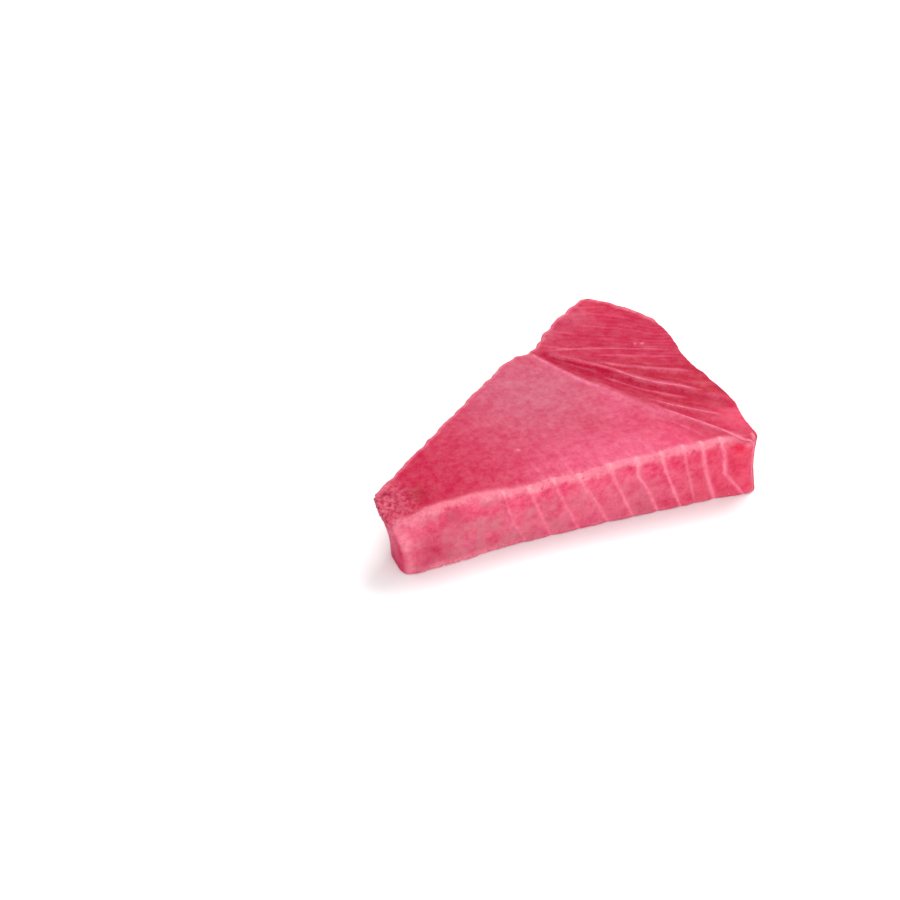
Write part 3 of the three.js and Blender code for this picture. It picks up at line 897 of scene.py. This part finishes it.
def makeStrands():
    points, links, girths = [], [], []

    def lay(path, outwards, girth):
        # a strand along a path over the flesh, thinner and deeper towards both ends
        first = len(points)
        share = np.linspace(0, 1, len(path))
        whole = smoothstep(share * (1 - share), 0, strands["taper"])
        thick = girth * (strands["endGirth"] + (1 - strands["endGirth"]) * whole)
        sunk = strands["sunkAtEnds"] + (strands["sunk"] - strands["sunkAtEnds"]) * whole
        points.extend((path - middle - np.array(outwards) * (thick * sunk)[:, None]) * mm)
        girths.extend(thick * mm)
        links.extend((first + index, first + index + 1) for index in range(len(path) - 1))

    def onWall(x, heights):
        foot = np.column_stack([x, np.interp(x, *front.T)])
        return wallPoints(foot, np.tile((0.0, -1.0), (len(x), 1)), heights, 0)

    def onTop(bow, steps=48):
        line = bowThrough(*bow, steps=steps)
        return np.column_stack([line, topHeight(line)])

    front = plan[:slab["sideSteps"]]
    for places, girth in zip(seams["places"], strands["seamGirth"]):
        rim = np.array([(places[0], np.interp(places[0], *front.T) + slab["upperRadius"])])
        high, low = topHeight(rim)[0] - strands["belowTop"], strands["seamTo"]
        heights = np.linspace(high, low, round((high - low) / strands["step"]))
        x = np.interp(-heights, -np.array(seams["heights"]), places)
        lay(onWall(x, heights), (0, -1, 0), girth)
    for name, girth in strands["threadGirth"].items():
        lay(onTop(threads[name][0]), (0, 0, 1), girth)
    turns = np.vstack([onTop(strands["cornerFrom"], 40), onWall(*np.array(strands["cornerDown"]).T)])
    far = lengthsAlong(turns)
    even = np.linspace(0, far[-1], round(far[-1] / strands["step"]))
    path = np.column_stack([np.interp(even, far, values) for values in turns.T])
    lay(path, strands["cornerOutwards"], strands["cornerGirth"])

    source = bpy.data.meshes.new("strandPaths")
    source.from_pydata(points, links, [])
    source.attributes.new("girth", "FLOAT", "POINT").data.foreach_set("value", girths)
    sheet, given = newTree("seamStrands", {
        "Sides": "NodeSocketInt", "Unevenness": "NodeSocketFloat", "Lump Size": "NodeSocketFloat",
    })
    lines = sheet.add("GeometryNodeMeshToCurve", None, {0: given["Geometry"]})
    circle = {"Resolution": given["Sides"], "Radius": 1.0}
    ring = sheet.add("GeometryNodeCurvePrimitiveCircle", None, circle)
    girth = sheet.add("GeometryNodeInputNamedAttribute", {"data_type": "FLOAT"}, {"Name": "girth"})
    where = sheet.add("GeometryNodeInputPosition")
    uneven = sheet.add("ShaderNodeTexNoise", None, {
        "Vector": where, "Scale": 1 / given["Lump Size"], "Detail": 2.0,
    })
    scale = girth * (1 + given["Unevenness"] * (uneven * 2 - 1))
    tube = sheet.tube(lines, ring, scale)
    values = {"Sides": strands["sides"], "Unevenness": strands["unevenness"]}
    values["Lump Size"] = strands["lumpSize"] * mm
    return grow("seamStrands", source, sheet, tube, makeSinew("sinew", sinewLook), values)


makeStrands()


def makeShreds():
    sheet, given = newTree("tornShreds", {
        "Per Area": "NodeSocketFloat", "Size": "NodeSocketFloat", "Smallest": "NodeSocketFloat",
        "Seed": "NodeSocketInt",
    })
    # points over the flesh as dense as its attribute says, each with a turn that follows the surface
    dense = sheet.add("GeometryNodeInputNamedAttribute", {"data_type": "FLOAT"}, {"Name": "shreds"})
    points = sheet.add("GeometryNodeDistributePointsOnFaces", None, {
        "Mesh": given["Geometry"], "Density": dense * given["Per Area"], "Seed": given["Seed"],
    }, output="Points")
    turn = Wire(sheet, points.socket.node.outputs["Rotation"])
    size = sheet.random(given["Smallest"], 1.0, 1) ** shreds["unevenness"] * given["Size"]

    # one bent fibre of length 1, thin at both tips, put at each point with a random spin and width
    curve = {"Resolution": shreds["steps"], **shreds["bend"]}
    bend = sheet.add("GeometryNodeCurveQuadraticBezier", None, curve)
    along = sheet.add("GeometryNodeSplineParameter", output="Factor")
    circle = {"Resolution": shreds["sides"], "Radius": shreds["girth"] / shreds["length"]}
    ring = sheet.add("GeometryNodeCurvePrimitiveCircle", None, circle)
    taper = shreds["tip"] + (1 - (along * 2 - 1) ** 2.0) * (1 - shreds["tip"])
    tube = sheet.tube(bend, ring, taper)
    lean = shreds["lean"]
    spin = sheet.randomVector((-lean, -lean, 0), (lean, lean, fullTurn), 2)
    turns = {"Rotation": turn, "Rotate By": spin}
    turned = sheet.add("FunctionNodeRotateRotation", {"rotation_space": "LOCAL"}, turns)
    scale = sheet.place(size, size * sheet.random(*shreds["width"], 3), size)
    placed = sheet.add("GeometryNodeInstanceOnPoints", None, {
        "Points": points, "Instance": tube, "Rotation": turned, "Scale": scale,
    })
    values = {
        "Per Area": shreds["perSquareMm"] / mm ** 2, "Size": shreds["length"] * mm,
        "Smallest": shreds["smallest"], "Seed": shreds["seed"],
    }
    return grow("tornShreds", flesh.data.copy(), sheet, placed, makeSinew("tornFibre", fibreLook), values)


makeShreds()

studio = {
    "floorSize": 8000, "floorDrop": 0.05, "floorColour": paint(244, 244, 244), "floorRoughness": 0.6,
    "world": 0.8,
    "lights": {
        "key": {"place": (420, 300, 900), "size": 600, "power": 8.5},
        "front": {"place": (-250, -900, 420), "size": 900, "power": 5.5},
    },
    "lens": 76, "sensor": 36, "azimuth": -20.5, "elevation": 37, "distance": 760, "aim": (-26.64, 12.32),
}


def buildStudio():
    half = studio["floorSize"] / 2
    turns = ((-1, -1), (1, -1), (1, 1), (-1, 1))
    corners = [(x * half, y * half, -studio["floorDrop"]) for x, y in turns]
    mesh = bpy.data.meshes.new("floor")
    mesh.from_pydata(np.array(corners) * mm, [], [(0, 1, 2, 3)])
    settings = {"Base Color": studio["floorColour"], "Roughness": studio["floorRoughness"]}
    mesh.materials.append(newFinish("paleFloor", settings)[0])
    link(bpy.data.objects.new("floor", mesh))

    world = bpy.data.worlds.new("studio")
    world.use_nodes = True
    background = world.node_tree.nodes["Background"].inputs
    background["Color"].default_value = (1, 1, 1, 1)
    background["Strength"].default_value = studio["world"]
    scene.world = world
    scene.view_settings.view_transform = "Standard"

    for name, light in studio["lights"].items():
        data = bpy.data.lights.new(name, "AREA")
        data.size, data.energy = light["size"] * mm, light["power"]
        lamp = link(bpy.data.objects.new(name, data))
        lamp.location = Vector(light["place"]) * mm
        lamp.rotation_euler = lamp.location.to_track_quat("Z", "Y").to_euler()

    turn, lift = math.radians(studio["azimuth"]), math.radians(studio["elevation"])
    back = Vector((math.sin(turn) * math.cos(lift), -math.cos(turn) * math.cos(lift), math.sin(lift)))
    data = bpy.data.cameras.new("camera")
    data.lens, data.sensor_width = studio["lens"], studio["sensor"]
    camera = link(bpy.data.objects.new("camera", data))
    aim = Vector((*studio["aim"], 0)) - Vector(middle)
    camera.location = (aim + back * studio["distance"]) * mm
    camera.rotation_euler = back.to_track_quat("Z", "Y").to_euler()
    scene.camera = camera


buildStudio()
print("studio set")
